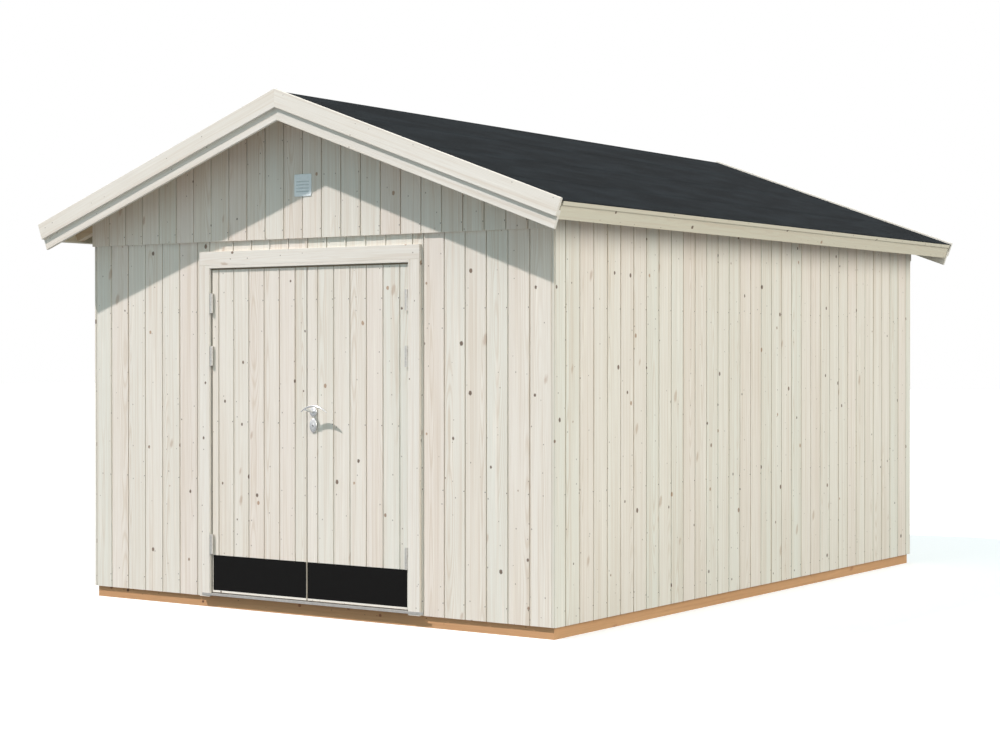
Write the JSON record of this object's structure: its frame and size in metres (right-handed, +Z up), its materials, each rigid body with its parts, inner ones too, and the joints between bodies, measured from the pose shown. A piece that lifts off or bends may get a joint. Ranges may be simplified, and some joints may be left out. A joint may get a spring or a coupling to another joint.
{
  "type": "wooden garden shed",
  "caption": "Gable-roofed timber garden shed with upright board cladding, felt roof, deep eaves and a pair of hinged doors with black kick plates and a lever handle.",
  "frame": {"origin": "on the ground, under the middle of the shed", "axes": "X to the right across the front, Y from the front to the back along the ridge, Z up"},
  "size_m": [3.6654, 5.014, 2.8707],
  "materials": {
    "cladding": "thin pale wash on planed boards",
    "door_timber": "thin pale wash on planed boards",
    "trim": "thin pale wash on planed boards",
    "treated_timber": "sawn, pressure treated",
    "frame_timber": "bare planed softwood",
    "roof_felt": "mineral faced bitumen felt",
    "kick_plate": "black satin",
    "sill": "dull grey",
    "hinge_steel": "galvanised",
    "handle_metal": "satin",
    "vent": "pale satin"
  },
  "bodies": {
    "shed": {"back_gable": "cladding", "back_wall": "cladding", "door_casings": "trim", "drip_strips": "trim", "eave_blocks": "frame_timber", "end_bearers": "treated_timber", "end_wall_plates": "frame_timber", "fascias": "trim", "floor_boards": "frame_timber", "floor_joists": "treated_timber", "frame_hinges": "hinge_steel", "front_gable": "cladding", "front_wall": "cladding", "front_wall_header": "cladding", "head_casing": "trim", "head_rail": "trim", "left_lower_bargeboards": "trim", "left_rafters": "frame_timber", "left_roof_deck": "frame_timber", "left_roof_felt": "roof_felt", "left_upper_bargeboards": "trim", "left_wall": "cladding", "ridge_board": "frame_timber", "right_lower_bargeboards": "trim", "right_rafters": "frame_timber", "right_roof_deck": "frame_timber", "right_roof_felt": "roof_felt", "right_upper_bargeboards": "trim", "right_wall": "cladding", "roof_ties": "frame_timber", "side_bearers": "treated_timber", "side_wall_plates": "frame_timber", "sill": "sill", "vent_grille": "vent", "wall_studs": "frame_timber"},
    "left_door": {"left_door_boards": "door_timber", "left_door_ledges": "door_timber", "left_kick_plate": "kick_plate", "left_door_hinges": "hinge_steel"},
    "right_door": {"right_door_boards": "door_timber", "right_door_ledges": "door_timber", "right_kick_plate": "kick_plate", "right_door_hinges": "hinge_steel", "lock_plates": "handle_metal"},
    "lever": {"lever_handle": "handle_metal"}
  },
  "joints": [
    {"name": "left_door_hinge", "type": "hinge", "parent": "shed", "child": "left_door", "pos_m": [-0.679, -2.263, 1], "axis": [0, 0, -1], "range_deg": [0, 110]},
    {"name": "right_door_hinge", "type": "hinge", "parent": "shed", "child": "right_door", "pos_m": [0.707, -2.263, 1], "axis": [0, 0, 1], "range_deg": [0, 110]},
    {"name": "lever_turn", "type": "hinge", "parent": "right_door", "child": "lever", "pos_m": [0.0635, -2.23, 1.125], "axis": [0, 1, 0], "range_deg": [0, 40], "stiffness_Nm_per_rad": 1.5, "springref_deg": -34.38}
  ]
}
